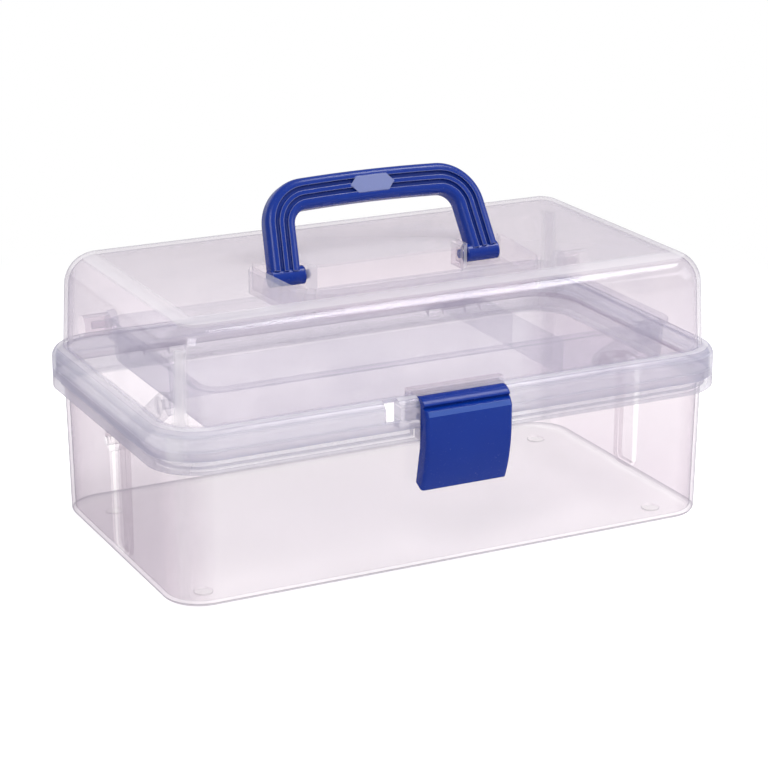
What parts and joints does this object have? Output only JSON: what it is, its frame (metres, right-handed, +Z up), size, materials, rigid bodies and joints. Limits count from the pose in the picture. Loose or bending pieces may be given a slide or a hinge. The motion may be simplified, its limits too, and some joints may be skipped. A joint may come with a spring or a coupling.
{
  "type": "storage box",
  "caption": "Clear hinged storage box with a fold-down carry handle in a lid well, a front flap latch and an inner tray on side arms that lifts back as the lid opens.",
  "frame": {"origin": "on the surface the box stands on, under the middle of its bounding box", "axes": "+X along the box to its right-hand end, -Y out of the front with the latch, +Z up"},
  "size_m": [0.33, 0.2017, 0.1905],
  "materials": {
    "clear_base": "clear moulded polypropylene, polished",
    "clear_lid": "clear moulded polypropylene, polished",
    "clear_tray": "clear moulded polypropylene, polished",
    "blue_plastic": "royal blue moulded polypropylene, smooth",
    "clear_arm": "clear moulded polypropylene, smooth",
    "pin": "pale moulded nylon"
  },
  "bodies": {
    "base": {"base_tub": "clear_base", "hinge_pin_left": "pin", "hinge_pin_right": "pin", "arm_base_pin_left": "pin", "arm_base_pin_right": "pin"},
    "lid": {"lid_shell": "clear_lid"},
    "handle": {"handle": "blue_plastic"},
    "latch": {"latch": "blue_plastic"},
    "tray": {"tray": "clear_tray", "tray_divider_cross": "clear_tray", "tray_divider_long": "clear_tray", "tray_lid_pin_left": "pin", "tray_lid_pin_right": "pin", "arm_tray_pin_left": "pin", "arm_tray_pin_right": "pin"},
    "arm_left": {"arm_left": "clear_arm"},
    "arm_right": {"arm_right": "clear_arm"}
  },
  "joints": [
    {"name": "lid_hinge", "type": "hinge", "parent": "base", "child": "lid", "pos_m": [0, 0.09785, 0.0815], "axis": [-1, 0, 0], "range_deg": [0, 95]},
    {"name": "handle_pivot", "type": "hinge", "parent": "lid", "child": "handle", "pos_m": [0, -0.0025, 0.1427], "axis": [1, 0, 0], "range_deg": [0, 117]},
    {"name": "latch_pivot", "type": "hinge", "parent": "lid", "child": "latch", "pos_m": [0, -0.091, 0.089], "axis": [-1, 0, 0], "range_deg": [0, 85]},
    {"name": "tray_pivot", "type": "hinge", "parent": "lid", "child": "tray", "pos_m": [0, 0.04785, 0.1145], "axis": [1, 0, 0], "range_deg": [0, 95]},
    {"name": "arm_left_pivot", "type": "hinge", "parent": "base", "child": "arm_left", "pos_m": [-0.1446, 0.0085, 0.0629], "axis": [-1, 0, 0], "range_deg": [0, 95]},
    {"name": "arm_right_pivot", "type": "hinge", "parent": "base", "child": "arm_right", "pos_m": [0.1446, 0.0085, 0.0629], "axis": [-1, 0, 0], "range_deg": [0, 95]}
  ],
  "couplings": [
    {"joint": "tray_pivot", "follows": "lid_hinge", "ratio": 1},
    {"joint": "arm_left_pivot", "follows": "lid_hinge", "ratio": 1},
    {"joint": "arm_right_pivot", "follows": "lid_hinge", "ratio": 1}
  ]
}
